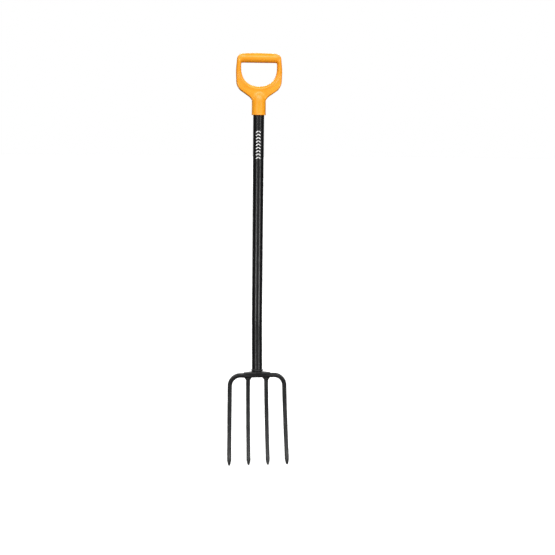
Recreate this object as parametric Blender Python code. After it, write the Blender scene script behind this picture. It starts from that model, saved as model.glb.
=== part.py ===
"""A four-tine digging fork: a D grip, a bent steel shaft and a welded steel head.

Metres, +Z up. X runs along the crossbar, the hollow side of the tines faces -Y, and the tips stand on Z = 0.
Run it with: blender --background --python part.py
"""

import math

import bmesh
import bpy
from mathutils import Matrix, Vector

# ---- Overall ----
TOTAL_HEIGHT = 1.204  # tine tips to the top of the hand bar
HEAD_WIDTH = 0.185  # over the outer tines at their tips
CLEARANCE = 0.0003  # between pieces that touch or slide into each other
ROUNDING_LIMIT = 0.45  # largest corner radius as a share of a section's width or depth

# ---- Shaft ----
TUBE_RADIUS = 0.016
TUBE_WALL = 0.0015
SHAFT_LEAN = math.radians(7)  # of the shaft below its bend
BEND_HEIGHT = 0.425  # where the two straight runs of the shaft's axis would cross
BEND_RADIUS = 0.57

# ---- Grip ----
BAR_RADIUS = 0.0142
BAR_CROWN = 0.0009  # how much slimmer the hand bar is where it meets the arms
BAR_END_ROUND = 0.012
OPENING_WIDTH = 0.104
OPENING_HEIGHT = 0.0665
OPENING_SQUARENESS = 2.2  # 2 would make the opening's lower half an ellipse
ARM_TOP_WIDTH = 0.0105  # beside the opening: level with the hand bar's top,
ARM_WIDTH = 0.01475  # where the arms are widest apart,
ARM_LOW_WIDTH = 0.013  # and at the shoulders
ARM_DEPTH = 0.025
ARM_TOP_DROP = 0.0043  # how far below the hand bar's top the arms end, hidden inside the bar
ARM_ROOT_SHARE = 0.6  # how far down the hand bar's radius the arms' hidden root reaches
GRIP_EDGE = 0.005  # rounding of the arms' edges
WIDEST_DROP = 0.050  # below the hand bar's top
SHOULDER_BELOW_OPENING = 0.0039
NECK_BELOW_OPENING = 0.0352
TOP_CORNER_RADIUS = 0.013
SIDE_RADIUS = 0.12
SHOULDER_RADIUS = 0.035
NECK_RADIUS = 0.026
NECK_INSET = 0.0008  # how far the yoke's neck is inside the collar's side
NECK_TUCK = 0.003  # how much further inside its hidden lower end is
COLLAR_WALL = 0.0041
COLLAR_LIP = 0.0013
LIP_SHARE = 0.3  # of the lip, from its outer corner to the middle of its round
COLLAR_BELOW_NECK = 0.0469
SOCKET_ABOVE_NECK = 0.0031
DOME_BELOW_NECK = 0.0041  # where the collar's round body begins to fade into the yoke
DOME_TOP_GAP = 0.0115  # between that body's top and the opening
DOME_CUT = math.radians(75)  # where the dome ends, hidden inside the yoke

# ---- Grip screw ----
SCREW_HEIGHT = 0.020  # above the collar's lower end
SCREW_SHANK_RADIUS = 0.0021
SCREW_REACH = 0.0065  # into the tube's bore
SCREW_HEAD_RADIUS = 0.0045
SCREW_HEAD_THICK = 0.0026
SCREW_HEAD_SHAPE = ((1, 0.45), (0.85, 0.8), (0.55, 1))  # shares of the head's radius and thickness
SCREW_POINT_SHARE = 0.3  # of the shank's radius
SCREW_POINT = 0.003
RECESS_ARM = 0.0046
RECESS_SLOT = 0.0010
RECESS_DEPTH = 0.0014
BOSS_RADIUS = 0.0075
BOSS_PROUD = 0.002  # beyond the collar's round surface
BOSS_FLOOR = 0.0024  # depth of the seat below the boss's face

# ---- Head ----
CROSSBAR_HEIGHT = 0.256  # its centre line above the tips
CROSSBAR_THICK = 0.014
CROSSBAR_DEPTH = 0.013
CORNER_RADIUS = 0.031  # of the bow's centre line
BAR_CORNER = 0.0038  # rounding of the bar's own edges
TOP_SPACING = 0.0543  # between tines, level with the crossbar
TIP_LEAN = math.radians(22)  # of the tines at their tips
OUTER_TOP = (0.0135, 0.0115)  # a tine's width and depth below the crossbar
OUTER_LOW = (0.0121, 0.0080)  # and just above its point
INNER_TOP = (0.0124, 0.0105)
INNER_LOW = (0.0115, 0.0076)
POINT_LENGTH = 0.017
POINT_FLARE = 1.03  # how much wider a tine is at its point's shoulder
POINT_END = (0.0045, 0.0034)
POINT_ROUNDING = 1.6  # 1 would make the point a straight taper

# ---- Tang and saddle ----
SPIGOT_LENGTH = 0.060
SPIGOT_CHAMFER = 0.003
SADDLE_LENGTH = 0.080
SADDLE_THICK = 0.005
SADDLE_END_THICK = 0.0012
SADDLE_OVERHANG = 0.007  # beyond the crossbar's front and rear faces, at its middle
SADDLE_END_OVERHANG = 0.0008
SADDLE_WAIST = 1.5  # 1 would taper its sides straight to its ends
SEAT_HEIGHT = 0.0085  # of the seat for the tube's foot, above the crossbar

# ---- Weld beads ----
FOOT_BEAD_WIDTH = 0.0018
FOOT_BEAD_HEIGHT = 0.0066
SADDLE_BEAD_LEG = 0.0045
SADDLE_BEAD_SLOPE = 4  # its drop down the crossbar to its reach under the saddle, where that is short
SADDLE_BEAD_SHAPE = ((0, 0), (1, 0), (0.6, 0.55), (0, 1))  # shares of its reach and drop
SADDLE_BEAD_END = 0.003  # how far the beads stop short of the saddle's ends
TINE_BEAD_SIDE = 0.0055  # beside an inner tine, along the crossbar
TINE_BEAD_FACE = 0.0014  # before and behind an inner tine
TINE_BEAD_DROP = 0.006
TINE_BEAD_CORNER_CUT = 0.6  # share of the side reach lost at the tine's corners
TINE_BEAD_SHAPE = ((0, 0), (1, 0), (0.35, 0.4), (0, 1))  # shares of its reach and drop

# ---- Fineness ----
ROUND_SIDES = 40
TINE_STEPS = 9
POINT_STEPS = 4
ARC_STEPS = 8

TUBE_BORE = TUBE_RADIUS - TUBE_WALL
SOCKET_RADIUS = TUBE_RADIUS + CLEARANCE
COLLAR_RADIUS = SOCKET_RADIUS + COLLAR_WALL
BAR_AXIS_HEIGHT = TOTAL_HEIGHT - BAR_RADIUS
OPENING_BOTTOM = TOTAL_HEIGHT - 2 * BAR_RADIUS - OPENING_HEIGHT
NECK_HEIGHT = OPENING_BOTTOM - NECK_BELOW_OPENING
COLLAR_END = NECK_HEIGHT - COLLAR_BELOW_NECK
TUBE_TOP = NECK_HEIGHT + SOCKET_ABOVE_NECK
SCREW_SEAT = COLLAR_RADIUS + BOSS_PROUD - BOSS_FLOOR  # from the tube's axis
CROSSBAR_TOP = CROSSBAR_THICK / 2
SEAT_TOP = CROSSBAR_TOP + CLEARANCE + SEAT_HEIGHT
FOOT_RISE = SEAT_TOP + CLEARANCE  # the tube's foot, above the crossbar's centre line
HEAD_CURVE = CROSSBAR_HEIGHT / (math.sin(TIP_LEAN) - math.sin(SHAFT_LEAN))
TINE_DROP = HEAD_CURVE * (TIP_LEAN - SHAFT_LEAN)  # along the curve, crossbar to tips
SHOULDER_SPACING = (HEAD_WIDTH - OUTER_LOW[0] * POINT_FLARE) / 3  # where the points begin
TIP_SPACING = TOP_SPACING + (SHOULDER_SPACING - TOP_SPACING) * TINE_DROP / (TINE_DROP - POINT_LENGTH)
HEAD_ORIGIN = Vector((0, -(BEND_HEIGHT - CROSSBAR_HEIGHT) * math.tan(SHAFT_LEAN), CROSSBAR_HEIGHT))


# ---- Small tools ----
def mix(a, b, share):
    return a + (b - a) * share


def steps(first, last, count):
    """Evenly spaced values, both ends included."""
    return [mix(first, last, i / count) for i in range(count + 1)]


def fillet(before, corner, after, radius, count=ARC_STEPS):
    """The arc that rounds a corner of a flat outline, both of its ends included."""
    to_before = (before - corner).normalized()
    to_after = (after - corner).normalized()
    half = to_before.angle(to_after) / 2
    centre = corner + (to_before + to_after).normalized() * (radius / math.sin(half))
    reach = radius / math.tan(half)
    start = corner + to_before * reach - centre
    end = corner + to_after * reach - centre
    return [centre + start.slerp(end, t).normalized() * radius for t in steps(0, 1, count)]


def rounded_outline(corners):
    """An open outline through (x, y, radius) corners, whose two ends stay sharp."""
    points = [Vector(c[:2]) for c in corners]
    outline = [points[0]]
    for i in range(1, len(points) - 1):
        outline += fillet(points[i - 1], points[i], points[i + 1], corners[i][2])
    return outline + [points[-1]]


def rounded_rectangle(width, depth, radius):
    """Twelve points round a bar's section, three to a corner, as (along the width, along the depth)."""
    across, along = width / 2, depth / 2
    radius = min(radius, ROUNDING_LIMIT * width, ROUNDING_LIMIT * depth)
    corners = [(across, -along), (across, along), (-across, along), (-across, -along)]
    points = []
    for i, corner in enumerate(corners):
        before, after = Vector(corners[i - 1]), Vector(corners[(i + 1) % 4])
        points += fillet(before, Vector(corner), after, radius, 2)
    return points


def material(name, colour, roughness, metallic):
    made = bpy.data.materials.new(name)
    made.use_nodes = True
    shader = made.node_tree.nodes["Principled BSDF"]
    shader.inputs["Base Color"].default_value = (*colour, 1)
    shader.inputs["Roughness"].default_value = roughness
    shader.inputs["Metallic"].default_value = metallic
    return made


def frame(name, parent=None, location=(0, 0, 0), turn=0.0):
    """An empty that carries the pieces of one region, turned about X."""
    empty = bpy.data.objects.new(name, None)
    bpy.context.collection.objects.link(empty)
    empty.parent = parent
    empty.location = location
    empty.rotation_euler.x = turn
    return empty


def piece(name, bm, parent, finish, sharp=math.radians(35)):
    """Puts a finished bmesh into the scene as one named object."""
    bmesh.ops.recalc_face_normals(bm, faces=bm.faces)
    mesh = bpy.data.meshes.new(name)
    bm.to_mesh(mesh)
    bm.free()
    mesh.shade_smooth()
    mesh.set_sharp_from_angle(angle=sharp)
    mesh.materials.append(finish)
    made = bpy.data.objects.new(name, mesh)
    bpy.context.collection.objects.link(made)
    made.parent = parent
    return made


def loft(rings, closed=False):
    """A skin through rings of points: capped at both ends, or joined last to first."""
    bm = bmesh.new()
    rows = [[bm.verts.new(point) for point in ring] for ring in rings]
    pairs = list(zip(rows, rows[1:]))
    if closed:
        pairs.append((rows[-1], rows[0]))
    else:
        bm.faces.new(rows[0])
        bm.faces.new(rows[-1])
    for a, b in pairs:
        for i in range(len(a)):
            j = (i + 1) % len(a)
            bm.faces.new((a[i], a[j], b[j], b[i]))
    return bm


def circle(radius, height, sides=ROUND_SIDES):
    angles = [2 * math.pi * i / sides for i in range(sides)]
    return [Vector((radius * math.cos(a), radius * math.sin(a), height)) for a in angles]


def turned(profile, sides=ROUND_SIDES):
    """A round body about Z from its (radius, height) profile."""
    return loft([circle(radius, height, sides) for radius, height in profile])


def block(size, centre):
    bm = bmesh.new()
    bmesh.ops.create_cube(bm, size=1, matrix=Matrix.Translation(centre) @ Matrix.Diagonal((*size, 1)))
    return bm


def hide(tool):
    tool.hide_render = True
    tool.display_type = "WIRE"
    return tool


def combine(base, tool, operation):
    """Joins a hidden tool's shape to a piece, or cuts it out."""
    modifier = base.modifiers.new(operation.lower() + "_" + tool.name, "BOOLEAN")
    modifier.object = hide(tool)
    modifier.operation = operation
    modifier.solver = "EXACT"


# ---- Grip ----
def opening_curve():
    """The lower half of the hand opening, from its right side to its middle."""
    half = OPENING_WIDTH / 2
    middle = OPENING_BOTTOM + min(half, OPENING_HEIGHT)
    power = 2 / OPENING_SQUARENESS
    curve = [
        Vector((half * math.cos(a) ** power, mix(middle, OPENING_BOTTOM, math.sin(a) ** power)))
        for a in steps(0, math.pi / 2, 2 * ARC_STEPS)[:-1]
    ]
    return curve + [Vector((0, OPENING_BOTTOM))]


def yoke_outline():
    """The arms and yoke from the front, as (x, z) points. Both arms end inside the hand bar."""
    inner = OPENING_WIDTH / 2
    arm_top = TOTAL_HEIGHT - ARM_TOP_DROP
    root_side = inner - BAR_RADIUS
    root_base = BAR_AXIS_HEIGHT - ARM_ROOT_SHARE * BAR_RADIUS
    neck = COLLAR_RADIUS - NECK_INSET
    outer = rounded_outline(
        [
            (neck - NECK_TUCK, NECK_HEIGHT - NECK_RADIUS, 0),
            (neck, NECK_HEIGHT, NECK_RADIUS),
            (inner + ARM_LOW_WIDTH, OPENING_BOTTOM - SHOULDER_BELOW_OPENING, SHOULDER_RADIUS),
            (inner + ARM_WIDTH, TOTAL_HEIGHT - WIDEST_DROP, SIDE_RADIUS),
            (inner + ARM_TOP_WIDTH, arm_top, TOP_CORNER_RADIUS),
            (root_side, arm_top, 0),
        ]
    )
    root = [Vector((root_side, root_base)), Vector((inner, root_base))]
    right = outer + root + opening_curve()
    left = [Vector((-p.x, p.y)) for p in reversed(right[:-1])]
    return right + left


def yoke(parent, finish):
    """The arms and yoke: their outline pulled through the arms' depth, with rounded rims."""
    bm = bmesh.new()
    face = bm.faces.new([bm.verts.new((p.x, -ARM_DEPTH / 2, p.y)) for p in yoke_outline()])
    moved = bmesh.ops.extrude_face_region(bm, geom=[face])["geom"]
    far_verts = [v for v in moved if isinstance(v, bmesh.types.BMVert)]
    bmesh.ops.translate(bm, vec=(0, ARM_DEPTH, 0), verts=far_verts)
    rims = [e for e in bm.edges if abs(e.verts[0].co.y - e.verts[1].co.y) < CLEARANCE]
    bmesh.ops.bevel(bm, geom=rims, offset=GRIP_EDGE, segments=3, profile=0.5, affect="EDGES")
    return piece("d_grip", bm, parent, finish)


def hand_bar(parent, finish):
    """The bar across the top: a round body along X, straight below and crowned above."""
    straight = OPENING_WIDTH / 2 + ARM_TOP_WIDTH - BAR_END_ROUND
    stations = [(x, 1) for x in steps(0, straight, 3)]
    angles = [math.radians(a) for a in (30, 52, 70)]
    stations += [(straight + BAR_END_ROUND * math.sin(a), math.cos(a)) for a in angles]
    stations = [(-x, share) for x, share in reversed(stations[1:])] + stations
    rings = []
    for x, share in stations:
        crown = BAR_CROWN * (x / straight) ** 2
        centre = Vector((x, 0, BAR_AXIS_HEIGHT - crown))
        radius = (BAR_RADIUS - crown) * share
        rings.append([centre + Vector((0, p.x, p.y)) for p in circle(radius, 0)])
    return piece("hand_bar", loft(rings), parent, finish)


def collar(parent, finish):
    """The round socket body, whose domed top fades into the yoke."""
    dome_foot = NECK_HEIGHT - DOME_BELOW_NECK
    dome_rise = (OPENING_BOTTOM - DOME_TOP_GAP - dome_foot) / math.sin(DOME_CUT)
    profile = [
        (COLLAR_RADIUS - COLLAR_LIP, COLLAR_END),
        (COLLAR_RADIUS - LIP_SHARE * COLLAR_LIP, COLLAR_END + LIP_SHARE * COLLAR_LIP),
        (COLLAR_RADIUS, COLLAR_END + COLLAR_LIP),
    ]
    profile += [
        (COLLAR_RADIUS * math.cos(a), dome_foot + dome_rise * math.sin(a))
        for a in steps(0, DOME_CUT, ARC_STEPS)
    ]
    return piece("collar", turned(profile), parent, finish)


def screw_frame(parent):
    """A frame on the screw's axis, whose +Z leaves the collar to the rear."""
    return frame("screw_frame", parent, (0, 0, COLLAR_END + SCREW_HEIGHT), -math.pi / 2)


def grip(parent, screw_axis, finish):
    """The whole moulding: arms, hand bar and collar, with its blind socket and its screw's seat."""
    body = yoke(parent, finish)
    boss_face = COLLAR_RADIUS + BOSS_PROUD
    outside = 2 * boss_face
    head_radius = SCREW_HEAD_RADIUS + 2 * CLEARANCE
    shank_radius = SCREW_SHANK_RADIUS + CLEARANCE
    boss = [(BOSS_RADIUS, SOCKET_RADIUS + CLEARANCE), (BOSS_RADIUS, boss_face)]
    socket = [(SOCKET_RADIUS, COLLAR_END - COLLAR_RADIUS), (SOCKET_RADIUS, TUBE_TOP + CLEARANCE)]
    head_room = [(head_radius, SCREW_SEAT), (head_radius, outside)]
    shank_room = [(shank_radius, 0), (shank_radius, outside)]
    combine(body, hand_bar(parent, finish), "UNION")
    combine(body, collar(parent, finish), "UNION")
    combine(body, piece("screw_boss", turned(boss, 24), screw_axis, finish), "UNION")
    combine(body, piece("socket_bore", turned(socket), parent, finish), "DIFFERENCE")
    combine(body, piece("screw_seat", turned(head_room, 24), screw_axis, finish), "DIFFERENCE")
    combine(body, piece("grip_screw_hole", turned(shank_room, 16), screw_axis, finish), "DIFFERENCE")


def grip_screw(screw_axis, finish):
    """A domed cross-head screw through the collar and the tube's wall."""
    under_head = SCREW_SEAT + CLEARANCE
    head_top = under_head + SCREW_HEAD_THICK
    point = TUBE_BORE - SCREW_REACH
    profile = [
        (SCREW_POINT_SHARE * SCREW_SHANK_RADIUS, point),
        (SCREW_SHANK_RADIUS, point + SCREW_POINT),
        (SCREW_SHANK_RADIUS, under_head),
        (SCREW_HEAD_RADIUS, under_head),
        *((wide * SCREW_HEAD_RADIUS, mix(under_head, head_top, high)) for wide, high in SCREW_HEAD_SHAPE),
    ]
    screw = piece("grip_screw", turned(profile, 24), screw_axis, finish)
    centre = (0, 0, head_top)
    for name, width, height in (("wide", RECESS_ARM, RECESS_SLOT), ("tall", RECESS_SLOT, RECESS_ARM)):
        slot = piece("recess_" + name, block((width, height, 2 * RECESS_DEPTH), centre), screw_axis, finish)
        combine(screw, slot, "DIFFERENCE")


# ---- Shaft ----
def shaft_stations():
    """The shaft's axis from top to foot, as (point, lean) pairs."""
    tangent = BEND_RADIUS * math.tan(SHAFT_LEAN / 2)
    arc_top = BEND_HEIGHT + tangent
    top = Vector((0, 0, TUBE_TOP))
    foot = HEAD_ORIGIN + Vector((0, math.sin(SHAFT_LEAN), math.cos(SHAFT_LEAN))) * FOOT_RISE
    arc = [
        (Vector((0, BEND_RADIUS * (math.cos(a) - 1), arc_top - BEND_RADIUS * math.sin(a))), a)
        for a in steps(0, SHAFT_LEAN, ARC_STEPS)
    ]
    return [(top, 0), *arc, (foot, SHAFT_LEAN)]


def tube_ring(centre, lean, radius):
    back = Vector((0, math.cos(lean), -math.sin(lean)))
    return [centre + Vector((p.x, 0, 0)) + back * p.y for p in circle(radius, 0)]


def shaft_tube(parent, screw_axis, finish):
    """The bent tube: down its outer wall and up its bore, with one hole for the grip's screw."""
    stations = shaft_stations()
    outer = [tube_ring(centre, lean, TUBE_RADIUS) for centre, lean in stations]
    inner = [tube_ring(centre, lean, TUBE_BORE) for centre, lean in reversed(stations)]
    tube = piece("shaft_tube", loft(outer + inner, closed=True), parent, finish)
    hole_radius = SCREW_SHANK_RADIUS + CLEARANCE
    hole = [(hole_radius, TUBE_BORE / 2), (hole_radius, 2 * TUBE_RADIUS)]
    combine(tube, piece("tube_screw_hole", turned(hole, 16), screw_axis, finish), "DIFFERENCE")


# ---- Head ----
def tine_x(place, drop):
    """A tine's distance from the middle: place is 1.5 for an outer tine and 0.5 for an inner one."""
    return place * mix(TOP_SPACING, TIP_SPACING, drop / TINE_DROP)


def head_place(x, drop):
    """A point of the head's curved sheet, its direction down the tines and its front normal."""
    lean = SHAFT_LEAN + drop / HEAD_CURVE
    forward = HEAD_CURVE * (math.cos(SHAFT_LEAN) - math.cos(lean))
    fall = HEAD_CURVE * (math.sin(lean) - math.sin(SHAFT_LEAN))
    point = HEAD_ORIGIN + Vector((x, -forward, -fall))
    down = Vector((0, -math.sin(lean), -math.cos(lean)))
    front = Vector((0, -math.cos(lean), math.sin(lean)))
    return point, down, front


def tine_section(drop, top, low):
    """A tine's width and depth at a drop below the crossbar."""
    shoulder = TINE_DROP - POINT_LENGTH
    if drop <= shoulder:
        share = max(0.0, drop / shoulder)
        flare = mix(1, POINT_FLARE, share**8)
        return mix(top[0], low[0], share) * flare, mix(top[1], low[1], share)
    share = ((drop - shoulder) / POINT_LENGTH) ** POINT_ROUNDING
    return mix(low[0] * POINT_FLARE, POINT_END[0], share), mix(low[1], POINT_END[1], share)


def tine_drops(start):
    """Where a tine's rings lie, from its start to its tip."""
    shoulder = TINE_DROP - POINT_LENGTH
    return steps(start, shoulder, TINE_STEPS) + steps(shoulder, TINE_DROP, POINT_STEPS)[1:]


def bar_ring(x, drop, along, width, depth):
    """One ring of a bar lying in the head's sheet. along is its direction there, as (x, drop)."""
    point, down, front = head_place(x, drop)
    side = Vector((along.y, 0, 0)) - down * along.x
    ring = [point + side * p.x + front * p.y for p in rounded_rectangle(width, depth, BAR_CORNER)]
    if drop < TINE_DROP - CLEARANCE:
        return ring
    axis = Vector((along.x, 0, 0)) + down * along.y
    return [p - axis * (p.z / axis.z) for p in ring]


def bow_path():
    """The bow's centre line in the head's sheet, from its left tip to its right tip, as (x, drop)."""
    corner = Vector((tine_x(1.5, 0), 0))
    tip = Vector((tine_x(1.5, TINE_DROP), TINE_DROP))
    arc = fillet(Vector((0, 0)), corner, tip, CORNER_RADIUS)
    tine = [Vector((tine_x(1.5, drop), drop)) for drop in tine_drops(arc[-1].y)[1:]]
    half = [Vector((x, 0)) for x in steps(0, arc[0].x, 3)[:-1]] + arc + tine
    return [Vector((-p.x, p.y)) for p in reversed(half[1:])] + half


def outer_tine_bow(parent, finish):
    """One bar bent into the crossbar and the two outer tines."""
    path = bow_path()
    rings = []
    for i, point in enumerate(path):
        before, after = path[max(i - 1, 0)], path[min(i + 1, len(path) - 1)]
        along = (after - before).normalized()
        width, depth = tine_section(point.y, OUTER_TOP, OUTER_LOW)
        share = abs(along.y)
        width, depth = mix(CROSSBAR_THICK, width, share), mix(CROSSBAR_DEPTH, depth, share)
        rings.append(bar_ring(point.x, point.y, along, width, depth))
    return piece("outer_tine_bow", loft(rings), parent, finish)


def inner_tine(name, side, parent, finish):
    """A straight-topped tine that butts up under the crossbar."""
    rings = []
    along = Vector((side * (tine_x(0.5, TINE_DROP) - tine_x(0.5, 0)), TINE_DROP)).normalized()
    for drop in tine_drops(CROSSBAR_THICK / 2 + CLEARANCE):
        width, depth = tine_section(drop, INNER_TOP, INNER_LOW)
        rings.append(bar_ring(side * tine_x(0.5, drop), drop, along, width, depth))
    return piece(name, loft(rings), parent, finish)


def saddle_size(x):
    """The saddle's half depth and thickness at a distance from its middle."""
    share = abs(x) / (SADDLE_LENGTH / 2)
    overhang = mix(SADDLE_OVERHANG, SADDLE_END_OVERHANG, share**SADDLE_WAIST)
    return CROSSBAR_DEPTH / 2 + overhang, mix(SADDLE_THICK, SADDLE_END_THICK, share)


def saddle_ring(x):
    half_depth, thick = saddle_size(x)
    base = CROSSBAR_TOP + CLEARANCE
    section = [(1, 0), (1, 0.5), (0.7, 0.9), (0, 1), (-0.7, 0.9), (-1, 0.5), (-1, 0)]
    return [Vector((x, share * half_depth, base + rise * thick)) for share, rise in section]


def head_tang(head, finish):
    """The spigot that fills the tube's foot, and the saddle that lies along the crossbar."""
    half = SADDLE_LENGTH / 2
    saddle = loft([saddle_ring(x) for x in steps(-half, half, 12)])
    tang = piece("head_tang", saddle, head, finish)
    spigot_radius = TUBE_BORE - CLEARANCE
    spigot_top = SEAT_TOP + SPIGOT_LENGTH
    profile = [
        (TUBE_RADIUS - CLEARANCE, CROSSBAR_TOP + 2 * CLEARANCE),
        (TUBE_RADIUS - CLEARANCE, SEAT_TOP),
        (spigot_radius, SEAT_TOP),
        (spigot_radius, spigot_top - SPIGOT_CHAMFER),
        (spigot_radius - SPIGOT_CHAMFER, spigot_top),
    ]
    combine(tang, piece("spigot", turned(profile), head, finish), "UNION")


# ---- Weld beads ----
def tube_foot_weld(head, finish):
    """A ring bead round the joint between the tube's foot and its seat."""
    inner = TUBE_RADIUS + CLEARANCE
    middle = FOOT_RISE
    half = FOOT_BEAD_HEIGHT / 2
    bulge = [
        (inner + FOOT_BEAD_WIDTH * math.cos(a), middle + half * math.sin(a))
        for a in steps(-math.pi / 2, math.pi / 2, 5)
    ]
    rings = []
    for i in range(ROUND_SIDES):
        turn = 2 * math.pi * i / ROUND_SIDES
        rings.append([Vector((r * math.cos(turn), r * math.sin(turn), z)) for r, z in bulge])
    return piece("tube_foot_weld", loft(rings, closed=True), head, finish)


def saddle_weld(name, side, head, finish):
    """A bead under the saddle's overhang, against the crossbar's front (-1) or rear (1) face."""
    half = SADDLE_LENGTH / 2 - SADDLE_BEAD_END
    wall = CROSSBAR_DEPTH / 2 + CLEARANCE
    rings = []
    for x in steps(-half, half, 10):
        half_depth, _ = saddle_size(x)
        out = min(half_depth - wall, SADDLE_BEAD_LEG)
        drop = min(SADDLE_BEAD_SLOPE * out, SADDLE_BEAD_LEG)
        section = [(out * wide, drop * high) for wide, high in SADDLE_BEAD_SHAPE]
        rings.append([Vector((x, side * (wall + y), CROSSBAR_TOP - z)) for y, z in section])
    return piece(name, loft(rings), head, finish)


def inner_tine_weld(name, side, parent, finish):
    """A bead round an inner tine's top, broad along the crossbar and thin before and behind."""
    start = CROSSBAR_THICK / 2 + CLEARANCE
    width, depth = tine_section(start + TINE_BEAD_DROP, INNER_TOP, INNER_LOW)
    top_width, top_depth = tine_section(start, INNER_TOP, INNER_LOW)
    across, along = max(width, top_width) / 2 + 2 * CLEARANCE, max(depth, top_depth) / 2 + CLEARANCE
    point, down, front = head_place(side * tine_x(0.5, start), start)
    rings = []
    for p in rounded_rectangle(2 * across, 2 * along, BAR_CORNER):
        share = abs(p.x) / across * (1 - TINE_BEAD_CORNER_CUT * abs(p.y) / along)
        out = mix(TINE_BEAD_FACE, TINE_BEAD_SIDE, share)
        push = Vector((p.x / across * out, p.y / along * TINE_BEAD_FACE))
        rings.append(
            [
                point
                + Vector((p.x + push.x * s, 0, 0))
                + front * (p.y + push.y * s)
                + down * (drop * TINE_BEAD_DROP)
                for s, drop in TINE_BEAD_SHAPE
            ]
        )
    return piece(name, loft(rings, closed=True), parent, finish)


# ---- Placing ----
def stand_on_origin(root):
    """Moves the fork so that the middle of its box is over the origin and its tips are on the ground."""
    bpy.context.view_layer.update()
    depsgraph = bpy.context.evaluated_depsgraph_get()
    corners = []
    for made in bpy.context.scene.objects:
        if made.type == "MESH" and not made.hide_render:
            shown = made.evaluated_get(depsgraph)
            corners += [shown.matrix_world @ v.co for v in shown.data.vertices]
    low = Vector(min(c[i] for c in corners) for i in range(3))
    high = Vector(max(c[i] for c in corners) for i in range(3))
    root.location = (-(low.x + high.x) / 2, -(low.y + high.y) / 2, -low.z)


def main():
    for old in list(bpy.data.objects):
        bpy.data.objects.remove(old)
    orange = material("orange_moulding", (0.95, 0.32, 0.02), 0.38, 0)
    coat = material("black_tube_coat", (0.012, 0.012, 0.013), 0.30, 0)
    forged = material("dark_forged_coat", (0.022, 0.023, 0.025), 0.45, 0.1)
    bead = material("coated_weld", (0.020, 0.021, 0.023), 0.50, 0.1)
    zinc = material("zinc_plate", (0.55, 0.56, 0.58), 0.35, 1)

    root = frame("fork_frame")
    head = frame("head_frame", root, HEAD_ORIGIN, -SHAFT_LEAN)
    screw_axis = screw_frame(root)
    grip(root, screw_axis, orange)
    grip_screw(screw_axis, zinc)
    shaft_tube(root, screw_axis, coat)
    head_tang(head, forged)
    outer_tine_bow(root, forged)
    for name, side in (("left", -1), ("right", 1)):
        inner_tine("inner_tine_" + name, side, root, forged)
        inner_tine_weld("inner_tine_weld_" + name, side, root, bead)
    tube_foot_weld(head, bead)
    for name, side in (("front", -1), ("rear", 1)):
        saddle_weld("saddle_weld_" + name, side, head, bead)
    stand_on_origin(root)


main()
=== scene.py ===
"""The looks of a digging fork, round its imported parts: an orange D grip, a black shaft and a welded head.

Metres, +Z up. X runs along the crossbar, the hollow side of the tines faces -Y, and the tips stand on Z = 0.
"""

import math

import bmesh
import bpy
from mathutils import Matrix, Vector


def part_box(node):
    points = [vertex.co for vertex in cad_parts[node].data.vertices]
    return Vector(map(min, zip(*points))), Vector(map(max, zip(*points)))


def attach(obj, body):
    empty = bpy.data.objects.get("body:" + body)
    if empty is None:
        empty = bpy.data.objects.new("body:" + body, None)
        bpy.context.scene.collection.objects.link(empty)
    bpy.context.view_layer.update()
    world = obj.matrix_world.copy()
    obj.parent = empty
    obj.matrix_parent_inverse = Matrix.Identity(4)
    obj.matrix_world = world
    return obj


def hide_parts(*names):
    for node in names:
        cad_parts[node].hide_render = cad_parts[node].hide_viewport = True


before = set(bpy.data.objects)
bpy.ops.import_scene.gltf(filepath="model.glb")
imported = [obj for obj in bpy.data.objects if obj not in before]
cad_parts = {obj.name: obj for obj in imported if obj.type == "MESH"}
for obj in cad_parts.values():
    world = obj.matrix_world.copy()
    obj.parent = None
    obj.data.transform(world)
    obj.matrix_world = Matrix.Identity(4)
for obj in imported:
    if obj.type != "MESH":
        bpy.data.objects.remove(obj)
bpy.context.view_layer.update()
grip_low, grip_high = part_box("d_grip")
screw_low, screw_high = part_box("grip_screw")
_, tube_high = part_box("shaft_tube")

ORIGIN = (0, 0, 0)
QUARTER_TURN = math.pi / 2
SAME_PLACE = 0.00001  # points closer than this count as one

# ---- Sizes of the shaft ----
TUBE_RADIUS = tube_high.x
TUBE_WALL = 0.0015
SHAFT_Y = tube_high.y - TUBE_RADIUS
SHAFT_LEAN = math.radians(7)
BEND_HEIGHT = 0.425  # where the two straight stretches' middle lines would meet
BEND_RADIUS = 0.57

# ---- Sizes of the head, laid flat: X along the crossbar, Z up the shaft, the tines still unbent ----
CROSSBAR_HEIGHT = 0.256
CROSSBAR_THICK = 0.014
CROSSBAR_DEPTH = 0.013
CORNER_RADIUS = 0.031  # of the bar's middle line, where it turns down into an outer tine
BAR_CORNER = 0.0038
OUTER_PLACE, INNER_PLACE = 1.5, 0.5  # in tine spacings from the middle
TOP_SPACING = 0.0543
TIP_SPACING = 0.0577
TIP_LEAN = math.radians(22)
OUTER_TOP, OUTER_LOW = (0.0135, 0.0115), (0.0121, 0.0080)  # width and depth, at the crossbar and at the point
INNER_TOP, INNER_LOW = (0.0124, 0.0105), (0.0115, 0.0076)
POINT_LENGTH = 0.017
POINT_FLARE, FLARE_POWER = 1.03, 8  # how much wider a tine is just above its point, and how suddenly
POINT_END = (0.0045, 0.0034)
POINT_ROUNDING = 1.6
TIP_ROUND = 0.0005
TIP_RINGS = ((0.45, 0.96), (0.33, 0.93), (0.22, 0.86))  # shares of the round's height, and each ring's scale
SADDLE_LENGTH = 0.080
SADDLE_THICK, SADDLE_END_THICK = 0.005, 0.0012
SADDLE_OVERHANG, SADDLE_END_OVERHANG = 0.007, 0.0008
SADDLE_TAPER = 1.5  # 1 would narrow the overhang evenly towards the saddle's ends
SADDLE_CORNER_SHARE = 0.8  # of the thickness
SEAT_HEIGHT = 0.0085
SEAT_INSIDE = 0.0004  # smaller than the tube's outside
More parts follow.
